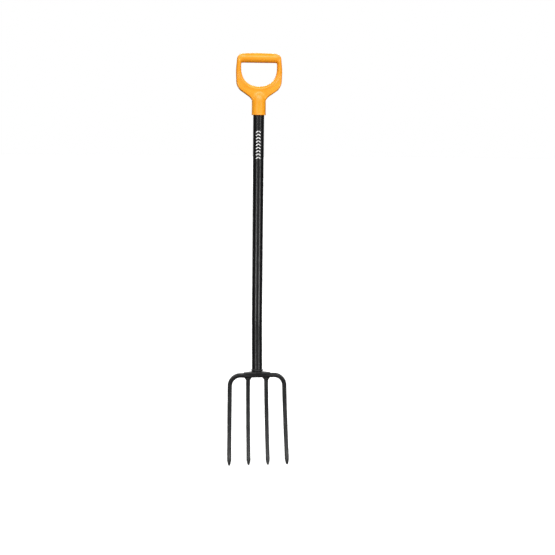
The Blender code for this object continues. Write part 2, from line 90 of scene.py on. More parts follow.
SPIGOT_LENGTH = 0.060
SPIGOT_CLEARANCE = 0.0003  # all round, inside the tube
HEAD_ORIGIN = Vector((0, SHAFT_Y - (BEND_HEIGHT - CROSSBAR_HEIGHT) * math.tan(SHAFT_LEAN), CROSSBAR_HEIGHT))
HEAD_PLACE = Matrix.Translation(HEAD_ORIGIN) @ Matrix.Rotation(-SHAFT_LEAN, 4, "X")
HEAD_CURVE = CROSSBAR_HEIGHT / (math.sin(TIP_LEAN) - math.sin(SHAFT_LEAN))
TINE_DROP = HEAD_CURVE * (TIP_LEAN - SHAFT_LEAN)
CROSSBAR_HALF = CROSSBAR_THICK / 2
FOOT_RISE = CROSSBAR_HALF + SEAT_HEIGHT


# ---- Modelling by hand ----
def mix(a, b, share):
    return a + (b - a) * share


def only(piece):
    """Makes a piece the one object that is selected and active."""
    bpy.ops.object.select_all(action="DESELECT")
    piece.select_set(True)
    bpy.context.view_layer.objects.active = piece


def edit(piece):
    """Opens a piece for editing, with all of it selected."""
    only(piece)
    bpy.ops.object.mode_set(mode="EDIT")
    bpy.ops.mesh.select_mode(type="VERT")
    bpy.ops.mesh.select_all(action="SELECT")


def start(kind, name, **place):
    """Adds a primitive and opens it for editing."""
    bpy.ops.object.select_all(action="DESELECT")
    getattr(bpy.ops.mesh, f"primitive_{kind}_add")(**place)
    made = bpy.context.object
    made.name = name
    edit(made)
    return made


def keep_place():
    """Keeps the selected piece's place in its mesh."""
    bpy.ops.object.transform_apply(location=True, rotation=True, scale=True)


def close_edit():
    """Leaves edit mode, with the piece's place in its mesh."""
    bpy.ops.object.mode_set(mode="OBJECT")
    keep_place()


def set_down(piece, place):
    """Moves and turns a finished shape by a matrix."""
    only(piece)
    piece.matrix_world = place
    keep_place()


def choose(kind, test):
    """Selects, in the mesh being edited, the verts or faces that pass a test."""
    bpy.ops.mesh.select_mode(type={"verts": "VERT", "faces": "FACE"}[kind])
    bpy.ops.mesh.select_all(action="DESELECT")
    mesh = bmesh.from_edit_mesh(bpy.context.object.data)
    for item in getattr(mesh, kind):
        item.select_set(test(item))
    bmesh.update_edit_mesh(bpy.context.object.data)


def faces_down(face):
    return face.normal.z < -0.5


def move(step):
    bpy.ops.transform.translate(value=step)


def resize(scale, centre):
    bpy.ops.transform.resize(value=scale, center_override=centre)


def turn(angle, axis, centre):
    """Turns the selection by the right-hand rule: without a window the operator turns the other way."""
    bpy.ops.transform.rotate(value=-angle, orient_axis=axis, center_override=centre)


def extrude(step):
    bpy.ops.mesh.extrude_region_move(TRANSFORM_OT_translate={"value": step})


def swing(angle, axis, centre):
    """Extrudes the selection one step round an axis."""
    extrude((0, 0, 0))
    turn(angle, axis, centre)


def round_corners(radius, segments):
    """Rounds the selected corners of a flat shape, and selects all of it again."""
    bpy.ops.mesh.bevel(offset=radius, segments=segments, affect="VERTICES")
    bpy.ops.mesh.select_all(action="SELECT")


def cut_below(height):
    """Cuts away what is selected below a height and closes the cut."""
    bpy.ops.mesh.bisect(plane_co=(0, 0, height), plane_no=(0, 0, -1), clear_outer=True, use_fill=True)


def face_outwards():
    """Turns all faces of the closed shape being edited outwards."""
    bpy.ops.mesh.select_all(action="SELECT")
    bpy.ops.mesh.normals_make_consistent(inside=False)


def modify(piece, kind, **settings):
    """Adds one modifier and applies it."""
    only(piece)
    modifier = piece.modifiers.new(kind.lower(), kind)
    for key, value in settings.items():
        setattr(modifier, key, value)
    bpy.ops.object.modifier_apply(modifier=modifier.name)


def mirror(piece):
    """Adds the other half of a piece that is open on the middle plane, X = 0."""
    modify(piece, "MIRROR", merge_threshold=SAME_PLACE)
    edit(piece)
    face_outwards()
    close_edit()


def join(name, pieces):
    bpy.ops.object.select_all(action="DESELECT")
    for piece in pieces:
        piece.select_set(True)
    bpy.context.view_layer.objects.active = pieces[0]
    bpy.ops.object.join()
    bpy.context.object.name = name
    return bpy.context.object


def soften(piece, rounds, group=""):
    """Smooths a piece, or the part of it that is in a vertex group."""
    modify(piece, "SMOOTH", factor=0.5, iterations=rounds, vertex_group=group)


def fuse(piece, voxel, rounds):
    """Melts overlapping solids into one skin with soft inner corners."""
    modify(piece, "REMESH", mode="VOXEL", voxel_size=voxel, use_smooth_shade=True)
    soften(piece, rounds)


def roughen(piece, size, height):
    """Moves the surface in and out by a soft noise, as a hammer or a die leaves it."""
    noise = bpy.data.textures.new("unevenness", "CLOUDS")
    noise.noise_scale = size
    noise.noise_depth = 2
    modify(piece, "DISPLACE", texture=noise, strength=height, mid_level=0.5)


def finish(piece, material, slot, *nodes, angle=35):
    """Gives a piece its shading, finish and body, and hides the imported parts that it takes the place of."""
    only(piece)
    bpy.ops.object.shade_smooth_by_angle(angle=math.radians(angle))
    piece.data.materials.clear()
    piece.data.materials.append(material)
    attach(piece, "root")
    if nodes:
        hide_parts(*nodes)


# ---- Camera ----
CAMERA_TARGET, CAMERA_DISTANCE = Vector((0, 0.014, 0.602)), 2.6
CAMERA_AZIMUTH, CAMERA_ELEVATION, CAMERA_ROLL = math.radians(-5), math.radians(8.5), math.radians(0.5)
SENSOR_WIDTH, FOCAL_LENGTH = 36, 57.16  # in millimetres
SHIFT_X, SHIFT_Y = 0.03515, -0.02932  # in frame widths
CLIP_START = 0.05


def camera():
    """A front view from a little above, with the lens at the height of the upper shaft."""
    data = bpy.data.cameras.new("camera")
    made = bpy.data.objects.new("camera", data)
    bpy.context.collection.objects.link(made)
    back = Vector(
        (
            math.sin(CAMERA_AZIMUTH) * math.cos(CAMERA_ELEVATION),
            -math.cos(CAMERA_AZIMUTH) * math.cos(CAMERA_ELEVATION),
            math.sin(CAMERA_ELEVATION),
        )
    )
    facing = (-back).to_track_quat("-Z", "Y").to_matrix().to_4x4() @ Matrix.Rotation(CAMERA_ROLL, 4, "Z")
    made.matrix_world = Matrix.Translation(CAMERA_TARGET + back * CAMERA_DISTANCE) @ facing
    data.sensor_width = SENSOR_WIDTH
    data.lens = FOCAL_LENGTH
    data.shift_x = SHIFT_X
    data.shift_y = SHIFT_Y
    data.clip_start = CLIP_START
    bpy.context.scene.camera = made


# ---- Shader maths ----
class Value:
    """A node's output. Used in an expression, it adds the Math nodes that work the expression out."""

    def __init__(self, nodes, output):
        self.nodes = nodes
        self.output = output

    def math(self, operation, *values):
        return self.nodes.node("ShaderNodeMath", {"operation": operation}, values)

    def __add__(self, other):
        return self.math("ADD", self, other)

    def __sub__(self, other):
        return self.math("SUBTRACT", self, other)

    def __rsub__(self, other):
        return self.math("SUBTRACT", other, self)

    def __mul__(self, other):
        return self.math("MULTIPLY", self, other)

    def __truediv__(self, other):
        return self.math("DIVIDE", self, other)

    def __pow__(self, other):
        return self.math("POWER", self, other)

    def __neg__(self):
        return self.math("MULTIPLY", self, -1.0)

    def __abs__(self):
        return self.math("ABSOLUTE", self)

    __radd__ = __add__
    __rmul__ = __mul__


class Nodes:
    """A node tree that nodes are added to, and the coordinates that they read."""

    def __init__(self, tree, coordinates):
        self.tree = tree
        self.place = self.node("ShaderNodeTexCoord", {}, {}, coordinates)
        self.x, self.y, self.z = (
            self.node("ShaderNodeSeparateXYZ", {}, [self.place], letter) for letter in "XYZ"
        )

    def node(self, kind, settings, sockets, output=0):
        """Adds a node: its settings first, then its sockets' values or links, by order, name or number."""
        made = self.tree.nodes.new(kind)
        for key, value in settings.items():
            setattr(made, key, value)
        if not isinstance(sockets, dict):
            sockets = dict(enumerate(sockets))
        for socket, value in sockets.items():
            self.set(made.inputs[socket], value)
        return Value(self, made.outputs[output])

    def set(self, socket, value):
        if isinstance(value, Value):
            self.tree.links.new(value.output, socket)
        else:
            socket.default_value = value

    def ramp(self, value, low, high, first=0.0, last=1.0):
        """Maps low..high of a value onto first..last, softly and held at both ends."""
        settings = {"interpolation_type": "SMOOTHSTEP", "clamp": True}
        return self.node("ShaderNodeMapRange", settings, [value, low, high, first, last])

    def fall(self, value, low, high):
        """1 up to low, falling softly to 0 at high."""
        return self.ramp(value, low, high, 1.0, 0.0)

    def band(self, value, low, high, soft):
        """1 between low and high, falling to 0 over a soft edge outside them."""
        return self.ramp(value, low - soft, low) * self.fall(value, high, high + soft)


class Finish(Nodes):
    """One material: its Principled node, and nodes added round it."""

    def __init__(self, name, **constants):
        self.material = bpy.data.materials.new(name)
        self.material.use_nodes = True
        super().__init__(self.material.node_tree, "Object")
        self.surface = self.tree.nodes["Principled BSDF"]
        for socket, value in constants.items():
            self.feed(socket.replace("_", " "), value)

    def feed(self, socket, value):
        self.set(self.surface.inputs[socket], value)

    def noise(self, scale, detail=2.0, roughness=0.5, stretch=None):
        """A soft noise of so many cells to the metre, stretched along axes where wanted."""
        place = self.place
        if stretch:
            place = self.node("ShaderNodeMapping", {}, {"Vector": place, "Scale": stretch})
        sockets = {"Vector": place, "Scale": scale, "Detail": detail, "Roughness": roughness}
        return self.node("ShaderNodeTexNoise", {}, sockets)

    def cells(self, scale):
        """The distance to the nearest of scattered points, so many cells to the metre."""
        return self.node("ShaderNodeTexVoronoi", {}, {"Vector": self.place, "Scale": scale})

    def blend(self, share, colour_a, colour_b):
        """Goes from one colour to the other. The node repeats its sockets' names, so they go by number."""
        first, second = (c if isinstance(c, Value) else (*c, 1) for c in (colour_a, colour_b))
        return self.node("ShaderNodeMix", {"data_type": "RGBA"}, {0: share, 6: first, 7: second}, 2)

    def bump(self, height, distance, strength=1.0, under=None):
        """A relief so many metres deep, on top of another where one is given."""
        sockets = {"Strength": strength, "Distance": distance, "Height": height}
        return self.node("ShaderNodeBump", {}, {**sockets, "Normal": under} if under else sockets)


# ---- Finishes ----
ORANGE, ORANGE_DEEP = (0.93, 0.372, 0.018), (0.89, 0.325, 0.011)
# the second colour on the next line is painted shade: a darker orange laid along the mould seam, round the
# grip's edges
ORANGE_SCUFFED, ORANGE_PAINTED_SHADE = (0.98, 0.56, 0.16), (0.72, 0.20, 0.01)
HELD_FROM, HELD_FULL = grip_high.z - 0.045, grip_high.z - 0.01  # the heights where hands rub the grip
# half the width of the middle-plane band, which carries the mould seam's bump and the painted shade round the
# grip's edges
PARTING_AND_SHADE_HALF_WIDTH = 0.00022
COAT_BLACK, COAT_WORN, COAT_FLECK = (0.0042, 0.0043, 0.0047), (0.0072, 0.0073, 0.0078), (0.030, 0.030, 0.032)
RUBBED_HEIGHT = 0.075  # the tines are rubbed more and more from here down to their tips
BARE_STEEL = (0.16, 0.155, 0.15)
FORGED = ((0.0040, 0.0042, 0.0046), (0.0080, 0.0082, 0.0087), 0.27)  # dark, light, and roughness
WELDED = ((0.0040, 0.0041, 0.0045), (0.0075, 0.0076, 0.0080), 0.25)
ZINC_BRIGHT, ZINC_DULL = (0.62, 0.63, 0.65), (0.44, 0.45, 0.48)
INK_FRESH, INK_WORN = (0.80, 0.80, 0.79), (0.30, 0.30, 0.30)


def grip_moulding():
    """Orange moulded plastic: fine die grain, faint flow clouds, a raised mould seam with painted shade laid
    along it round the grip's edges, and light handling scuffs.
    """
    skin = Finish("grip_moulding", IOR=1.46)
    clouds = skin.noise(28, detail=3)
    flow = skin.noise(60, stretch=(1, 1, 0.25))
    mottled = skin.ramp(clouds * 0.6 + flow * 0.4, 0.38, 0.66)
    speck = skin.ramp(skin.cells(900), 0.0, 0.35)
    scuffs = skin.ramp(skin.noise(420, detail=4, roughness=0.7, stretch=(1, 0.3, 0.3)), 0.62, 0.78)
    held = skin.ramp(skin.z, HELD_FROM, HELD_FULL)
    worn = scuffs * (held * 0.5 + 0.25)
    # the mould seam's band along the middle plane: it carries the seam's real bump, and painted shade round the
    # grip's edges
    parting_line_and_painted_shade = skin.fall(abs(skin.y - SHAFT_Y), PARTING_AND_SHADE_HALF_WIDTH, PARTING_AND_SHADE_HALF_WIDTH * 3)
    colour = skin.blend(mottled, ORANGE_DEEP, ORANGE)
    colour = skin.blend(worn * 0.22, colour, ORANGE_SCUFFED)
    # painted shade: the seam's band is darkened where the grip's edges turn away, standing in for shade there
    colour = skin.blend(parting_line_and_painted_shade * 0.25, colour, ORANGE_PAINTED_SHADE)
    grain = skin.noise(1500, detail=3, roughness=0.6) + 0.6 * speck
    relief = skin.bump(grain, distance=0.00006, strength=0.5)
    skin.feed("Base Color", colour)
    skin.feed("Roughness", 0.34 + 0.10 * clouds + 0.16 * worn - 0.05 * speck)
    skin.feed("Normal", skin.bump(parting_line_and_painted_shade, distance=0.00018, strength=0.8, under=relief))
    return skin.material


def tube_coat():
    """Black satin powder coat on a drawn tube: orange peel, dust-fine flecks and rubbed streaks."""
    coat = Finish("tube_coat", IOR=1.5)
    peel = coat.noise(520, roughness=0.45)
    broad = coat.noise(9, detail=3, roughness=0.6, stretch=(1, 1, 0.35))
    streaks = coat.ramp(coat.noise(300, detail=3, roughness=0.6, stretch=(1, 1, 0.02)), 0.45, 0.75)
    fleck = coat.fall(coat.cells(1400), 0.0, 0.16)
    colour = coat.blend(coat.ramp(broad, 0.35, 0.7), COAT_BLACK, COAT_WORN)
    dust = coat.bump(coat.noise(2600), distance=0.00003, strength=0.4)
    coat.feed("Base Color", coat.blend(fleck * 0.35, colour, COAT_FLECK))
    coat.feed("Roughness", 0.235 + 0.07 * broad + 0.05 * streaks + 0.04 * fleck)
    coat.feed("Normal", coat.bump(peel, distance=0.00022, strength=0.35, under=dust))
    return coat.material


def forged_shader(name, dark, light, rough):
    """Charcoal coat over forged steel: scale pits, a sandy grain, and bare steel rubbed through low down."""
    steel = Finish(name, IOR=1.5, Specular_IOR_Level=0.34)
    lumps = steel.noise(160, detail=3, roughness=0.55)
    sand = steel.noise(1300, detail=3, roughness=0.7)
    pits = steel.ramp(steel.cells(520), 0.02, 0.30)
    patches = steel.ramp(steel.noise(45, detail=4, roughness=0.6), 0.40, 0.68)
    use = steel.fall(steel.z, 0.0, RUBBED_HEIGHT)
    streaks = steel.ramp(steel.noise(260, detail=4, roughness=0.7, stretch=(1, 1, 0.18)), 0.50, 0.70)
    rubbed = streaks * (use**1.5)
    colour = steel.blend(patches, dark, light)
    grain = steel.bump(sand * 0.6 + pits * 0.8, distance=0.00018, strength=0.55)
    steel.feed("Base Color", steel.blend(rubbed * 0.55, colour, BARE_STEEL))
    steel.feed("Metallic", rubbed * 0.5)
    steel.feed("Roughness", rough + 0.14 * patches - 0.10 * rubbed + 0.08 * sand)
    steel.feed("Normal", steel.bump(lumps, distance=0.0007, strength=0.45, under=grain))
    return steel.material


def screw_zinc():
    """Bright zinc, finely grained, with a duller film in patches."""
    zinc = Finish("screw_zinc", Metallic=1.0)
    film = zinc.ramp(zinc.noise(700, detail=3), 0.35, 0.65)
    zinc.feed("Base Color", zinc.blend(film, ZINC_BRIGHT, ZINC_DULL))
    zinc.feed("Roughness", 0.24 + 0.18 * film)
    zinc.feed("Normal", zinc.bump(zinc.noise(4200), distance=0.00003, strength=0.5))
    return zinc.material


def mark_ink():
    """Off-white printing ink, slightly worn through in specks."""
    ink = Finish("mark_ink")
    worn = ink.ramp(ink.noise(900, detail=4, roughness=0.7), 0.60, 0.72)
    ink.feed("Base Color", ink.blend(worn * 0.6, INK_FRESH, INK_WORN))
    ink.feed("Roughness", 0.45 + 0.2 * worn)
    ink.feed("Normal", ink.bump(ink.noise(2500), distance=0.00002, strength=0.3))
    return ink.material


# ---- Grip ----
GRIP_VOXEL, GRIP_ROUNDS = 0.0009, 8
OPENING_WIDTH = 0.104
OPENING_BOTTOM = grip_high.z - 0.0949
OPENING_SQUARENESS = 2.2  # 2 would make the opening's lower half a half circle
CROWN_STEPS = 24
CROWN_OUT = 0.0068  # from the opening's rim to the strand's middle
CROWN_HALF_WIDTH, CROWN_HALF_DEPTH = 0.0064, 0.0146
CROWN_TOP, CROWN_TOP_ASIDE = grip_high.z - 0.022, -0.001  # where the strand ends, inside the hand bar
MELT_ABOVE_END, MELT_BELOW_TOP, MELT_ROUNDS = 0.041, 0.012, 55  # above the collar's end, below the bar's top
FUNNEL_HEIGHT, FUNNEL_REACH = grip_high.z - 0.113, 0.026  # where the arms run together on both faces
FUNNEL_DEPTH, FUNNEL_ROUNDS = 0.006, 160  # only what is further than this from the middle plane
COLLAR_TRIM = 0.0007  # taken off the collar's melted end, so that its rim is crisp again
RIM_HEIGHT, RIM_INSIDE, RIM_SWELL = 0.0034, 0.0185, 1.022  # the raised band round the collar's end


def opening_point(angle):
    """Where the strand passes the opening's lower rim, at an angle below level, and its turn there."""
    half, power = OPENING_WIDTH / 2, 2 / OPENING_SQUARENESS
    x, fall = half * math.cos(angle) ** power, half * math.sin(angle) ** power
    out = Vector(((x / half) ** (OPENING_SQUARENESS - 1), -((fall / half) ** (OPENING_SQUARENESS - 1))))
    out.normalize()
    return Vector((x, OPENING_BOTTOM + half - fall)) + out * CROWN_OUT, math.atan2(out.x, -out.y)


def crown():
    """A rounded strand along the middle of the arms and under the opening, which crowns their faces."""
    spots = [opening_point(QUARTER_TURN * (1 - i / CROWN_STEPS)) for i in range(CROWN_STEPS + 1)]
    side, upright = spots[-1]
    spots.append((side + Vector((CROWN_TOP_ASIDE, CROWN_TOP - side.y)), upright))
    strand = start("circle", "crown", vertices=32, radius=1, fill_type="NGON")
    resize((CROWN_HALF_WIDTH, CROWN_HALF_DEPTH, 1), ORIGIN)
    turn(QUARTER_TURN, "Y", ORIGIN)
    spot, angle = spots[0]
    move((spot.x, SHAFT_Y, spot.y))
    for new_spot, new_angle in spots[1:]:
        extrude((new_spot.x - spot.x, 0, new_spot.y - spot.y))
        turn(angle - new_angle, "Y", (new_spot.x, SHAFT_Y, new_spot.y))
        spot, angle = new_spot, new_angle
    choose("faces", lambda f: abs(f.calc_center_median().x) < SAME_PLACE)
    bpy.ops.mesh.delete(type="ONLY_FACE")
    close_edit()
    mirror(strand)
    return strand


def grip():
    """The moulding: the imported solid's own shape with its inner corners melted soft and its rim cut crisp."""
    made = bpy.data.objects.new("grip_moulded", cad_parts["d_grip"].data.copy())
    bpy.context.collection.objects.link(made)
    edit(made)
    bpy.ops.mesh.remove_doubles(threshold=SAME_PLACE)
    bpy.ops.mesh.customdata_custom_splitnormals_clear()
    close_edit()
    made = join("grip_moulded", [made, crown()])
    fuse(made, GRIP_VOXEL, GRIP_ROUNDS)

    yoke = made.vertex_groups.new(name="yoke")
    low, high = grip_low.z + MELT_ABOVE_END, grip_high.z - MELT_BELOW_TOP
    yoke.add([v.index for v in made.data.vertices if low < v.co.z < high], 1.0, "REPLACE")
    soften(made, MELT_ROUNDS, "yoke")

    funnel = made.vertex_groups.new(name="funnel")
    for v in made.data.vertices:
        near = 1 - (v.co.xz - Vector((0, FUNNEL_HEIGHT))).length / FUNNEL_REACH
        if near > 0 and abs(v.co.y - SHAFT_Y) > FUNNEL_DEPTH:
            funnel.add([v.index], min(1, 2 * near), "REPLACE")
    soften(made, FUNNEL_ROUNDS, "funnel")

    edit(made)
    cut_below(grip_low.z + COLLAR_TRIM)
    end = Vector((0, SHAFT_Y, grip_low.z))
    choose("verts", lambda v: v.co.z < end.z + RIM_HEIGHT and (v.co - end).xy.length > RIM_INSIDE)
    resize((RIM_SWELL, RIM_SWELL, 1), end)
    close_edit()
    finish(made, grip_moulding(), "grip_moulding", "d_grip", angle=50)


SCREW_SIDES = 40
SCREW_EDGE = 0.0013  # the head's upright edge, under its dome
SCREW_DOME = ((0.0007, 0.95), (0.0004, 0.86), (0.0002, 0.70))  # each ring's rise, and its scale on the last
SCREW_HEAD_HEIGHT = SCREW_EDGE + sum(rise for rise, _ in SCREW_DOME)
SHANK_RADIUS, SHANK_LENGTH = 0.0021, 0.0105
SHANK_POINT, SHANK_POINT_SCALE = 0.0012, 0.25
RECESS_LONG, RECESS_WIDE, RECESS_DEPTH, RECESS_TAPER = 0.0046, 0.0010, 0.0015, 0.45


def grip_screw():
    """A pan-head screw with a cross recess, at the collar's rear."""
    middle = (screw_low + screw_high) / 2
    head_radius = (screw_high.z - screw_low.z) / 2
    screw = start("circle", "grip_screw_head", vertices=SCREW_SIDES, radius=head_radius, fill_type="NGON")
    extrude((0, 0, SCREW_EDGE))
    for rise, scale in SCREW_DOME:
        extrude((0, 0, rise))
        resize((scale, scale, 1), ORIGIN)
    choose("faces", faces_down)
    bpy.ops.mesh.inset(thickness=head_radius - SHANK_RADIUS, depth=0)
    extrude((0, 0, -SHANK_LENGTH))
    extrude((0, 0, -SHANK_POINT))
    resize((SHANK_POINT_SCALE, SHANK_POINT_SCALE, 1), ORIGIN)
    close_edit()
    for across, up in ((RECESS_LONG, RECESS_WIDE), (RECESS_WIDE, RECESS_LONG)):
        cutter = start("cube", "recess_cutter", size=1, location=(0, 0, SCREW_HEAD_HEIGHT))
        resize((across, up, 2 * RECESS_DEPTH), (0, 0, SCREW_HEAD_HEIGHT))
        choose("faces", faces_down)
        resize((RECESS_TAPER, RECESS_TAPER, 1), (0, 0, SCREW_HEAD_HEIGHT - RECESS_DEPTH))
        close_edit()
        modify(screw, "BOOLEAN", object=cutter, operation="DIFFERENCE", solver="EXACT")
        bpy.data.objects.remove(cutter)
    seat = Matrix.Translation((middle.x, screw_high.y - SCREW_HEAD_HEIGHT, middle.z))
    set_down(screw, seat @ Matrix.Rotation(-QUARTER_TURN, 4, "X"))
    finish(screw, screw_zinc(), "screw_zinc", "grip_screw", angle=30)


# ---- Shaft ----
TUBE_SIDES = 96
UPPER_STEPS, BEND_STEPS, LOWER_STEPS = 12, 14, 6
MARK_LOW, MARK_STEP, MARK_ROWS = 0.905, 0.0094, 9
MARK_X = -0.0018
STROKE_LENGTH, STROKE_WIDTH, STROKE_CORNER = 0.0074, 0.0027, 0.0006
STROKE_LEAN = math.radians(38)
CHEVRON_HALF_GAP = 0.0005
INK_LIFT, INK_THICK = 0.00002, 0.00008


def shaft():
    """The drawn tube: a circle pulled down, spun through its bend and pulled on to the foot."""
    arc_top = BEND_HEIGHT + BEND_RADIUS * math.tan(SHAFT_LEAN / 2)
    bend_centre = Vector((0, SHAFT_Y - BEND_RADIUS, arc_top))
    arc_end = bend_centre + Vector((0, math.cos(SHAFT_LEAN), -math.sin(SHAFT_LEAN))) * BEND_RADIUS
    foot = HEAD_ORIGIN + Vector((0, math.sin(SHAFT_LEAN), math.cos(SHAFT_LEAN))) * FOOT_RISE
    tube = start(
        "circle", "shaft_tube_drawn", vertices=TUBE_SIDES, radius=TUBE_RADIUS, fill_type="NOTHING",
        location=(0, SHAFT_Y, tube_high.z),
    )
    for _ in range(UPPER_STEPS):
        extrude((0, 0, (arc_top - tube_high.z) / UPPER_STEPS))
    for _ in range(BEND_STEPS):
        swing(-SHAFT_LEAN / BEND_STEPS, "X", bend_centre)
    for _ in range(LOWER_STEPS):
        extrude((foot - arc_end) / LOWER_STEPS)
    close_edit()
    modify(tube, "SOLIDIFY", thickness=TUBE_WALL, offset=-1)
    finish(tube, tube_coat(), "tube_coat", "shaft_tube")
    return tube


def stroke(name, side, z):
    """One round-ended slanting stroke, flat in front of the tube."""
    made = start("grid", name, x_subdivisions=12, y_subdivisions=3, size=1)
    resize((STROKE_LENGTH, STROKE_WIDTH, 1), ORIGIN)
    inside = Vector((STROKE_LENGTH / 2 - SAME_PLACE, STROKE_WIDTH / 2 - SAME_PLACE))
    choose("verts", lambda v: abs(v.co.x) > inside.x and abs(v.co.y) > inside.y)
    round_corners(STROKE_CORNER, segments=3)
    turn(QUARTER_TURN, "X", ORIGIN)
    turn(side * STROKE_LEAN, "Y", ORIGIN)
    reach = STROKE_LENGTH / 2 * math.cos(STROKE_LEAN) + CHEVRON_HALF_GAP
    move((MARK_X + side * reach, SHAFT_Y - 2 * TUBE_RADIUS, z))
    close_edit()
    return made


def printed_mark(tube):
    """A generic printed band: a column of chevrons up the tube's front, in a thin film of ink."""
    rows = [(i, MARK_LOW + MARK_STEP * i) for i in range(MARK_ROWS)]
    mark = join("printed_mark", [stroke(f"stroke_{i}_{side}", side, z) for i, z in rows for side in (-1, 1)])
    forwards = {"wrap_method": "PROJECT", "use_project_y": True, "use_positive_direction": True}
    modify(mark, "SHRINKWRAP", target=tube, offset=INK_LIFT, **forwards)
    modify(mark, "SOLIDIFY", thickness=INK_THICK, offset=1)
    only(mark)
    bpy.ops.object.shade_smooth_by_angle(angle=math.radians(40))
    mark.data.materials.append(mark_ink())
    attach(mark, "root")


# ---- Head ----
TINE_STEPS, POINT_STEPS = 40, 9
CORNER_STEPS, CROSSBAR_STEPS, THICKEN_STEPS = 16, 12, 3
SADDLE_STEPS = 20
PAST_TIP = 0.003  # drawn on past the tip, to be cut off level
TINE_BURIED = 0.001  # the inner tines' tops, inside the crossbar
SWELL, DENTS, TANG_DENTS = (0.022, 0.0006), (0.006, 0.00022), (0.006, 0.00025)  # size and height of the noise
TANG_VOXEL, TANG_ROUNDS = 0.0007, 14


def tine_x(place, drop):
    """How far a tine's middle is aside, at a drop below the crossbar's middle."""
    return place * mix(TOP_SPACING, TIP_SPACING, drop / TINE_DROP)


def tine_size(drop, top, low):
    """A tine's width and depth at a drop below the crossbar's middle."""
    shoulder = TINE_DROP - POINT_LENGTH
    if drop <= shoulder:
        share = drop / shoulder
        flare = mix(1, POINT_FLARE, share**FLARE_POWER)
        return mix(top[0], low[0], share) * flare, mix(top[1], low[1], share)
    share = min(1, (drop - shoulder) / POINT_LENGTH) ** POINT_ROUNDING
    return mix(low[0] * POINT_FLARE, POINT_END[0], share), mix(low[1], POINT_END[1], share)


def draw_tine(name, place, drop, top, low):
    """Draws a flat rounded rectangle down into a tine, ring by ring, and a little past its tip."""
    shoulder = TINE_DROP - POINT_LENGTH
    rings = [mix(drop, shoulder, (i + 1) / TINE_STEPS) for i in range(TINE_STEPS)]
    rings += [mix(shoulder, TINE_DROP, (i + 1) / POINT_STEPS) for i in range(POINT_STEPS)]
    x, size = tine_x(place, drop), tine_size(drop, top, low)
    tine = start("plane", name, size=1)
    resize((*size, 1), ORIGIN)
    round_corners(BAR_CORNER, segments=6)
    move((x, 0, -drop))
    for new_drop in (*rings, TINE_DROP + PAST_TIP):
        new_x, new_size = tine_x(place, new_drop), tine_size(new_drop, top, low)
        extrude((new_x - x, 0, drop - new_drop))
        resize((new_size[0] / size[0], new_size[1] / size[1], 1), (new_x, 0, -new_drop))
        x, size, drop = new_x, new_size, new_drop
    return tine


def bend_head(piece):
    """Bends flat tines forward on the head's curve, leans them with the shaft, and rounds their tips."""
    heights = [v.co.z for v in piece.data.vertices]
    angle = (max(heights) - min(heights)) / HEAD_CURVE
    modify(piece, "SIMPLE_DEFORM", deform_method="BEND", deform_axis="X", angle=-angle)
    set_down(piece, HEAD_PLACE)
    edit(piece)
    cut_below(TIP_ROUND)
    caps = [
        f.calc_center_median()
        for f in bmesh.from_edit_mesh(piece.data).faces
        if f.calc_center_median().z < TIP_ROUND + SAME_PLACE and abs(f.normal.z) > 0.9
    ]
    for cap in caps:
        choose("faces", lambda f: (f.calc_center_median() - cap).length < SAME_PLACE)
        height = TIP_ROUND
        for share, scale in TIP_RINGS:
            extrude((0, 0, -share * TIP_ROUND))
            height -= share * TIP_ROUND
            resize((scale, scale, 1), (cap.x, cap.y, height))
    close_edit()


def forge(piece, node, material):
    """Leaves drawn tines uneven, as hammer and die do, then bends and finishes them."""
    modify(piece, "SUBSURF", levels=1, render_levels=1)
    roughen(piece, *SWELL)
    roughen(piece, *DENTS)
    bend_head(piece)
    finish(piece, material, "forged_coat", node, angle=40)


def outer_tines(material):
    """The bow: the crossbar and both outer tines, bent from one bar."""
    drop = CORNER_RADIUS
    bow = draw_tine("outer_bow_forged", OUTER_PLACE, drop, OUTER_TOP, OUTER_LOW)
    choose("faces", lambda f: abs(f.calc_center_median().z + drop) < SAME_PLACE)
    centre = (tine_x(OUTER_PLACE, drop) - CORNER_RADIUS, 0, -drop)
    width, depth = tine_size(drop, OUTER_TOP, OUTER_LOW)
    deepen = (CROSSBAR_DEPTH / depth) ** (1 / CORNER_STEPS)
    thicken = (CROSSBAR_THICK / width) ** (1 / THICKEN_STEPS)
    for _ in range(CORNER_STEPS):
        swing(-QUARTER_TURN / CORNER_STEPS, "Y", centre)
        resize((1, deepen, 1), centre)
    for i in range(CROSSBAR_STEPS):
        extrude((-centre[0] / CROSSBAR_STEPS, 0, 0))
        if i < THICKEN_STEPS:
            resize((1, 1, thicken), ORIGIN)
    bpy.ops.mesh.delete(type="FACE")
    close_edit()
    mirror(bow)
    forge(bow, "outer_tine_bow", material)


def inner_tine(name, side, node, material):
    """A straight-topped tine whose upper end butts up against the crossbar."""
    tine = draw_tine(name, side * INNER_PLACE, CROSSBAR_HALF - TINE_BURIED, INNER_TOP, INNER_LOW)
    face_outwards()
    close_edit()
    forge(tine, node, material)


def saddle_reach(x):
    """The saddle's half depth and thickness at a distance from its middle."""
    share = abs(x) / (SADDLE_LENGTH / 2)
    overhang = mix(SADDLE_OVERHANG, SADDLE_END_OVERHANG, share**SADDLE_TAPER)
    return CROSSBAR_DEPTH / 2 + overhang, mix(SADDLE_THICK, SADDLE_END_THICK, share)


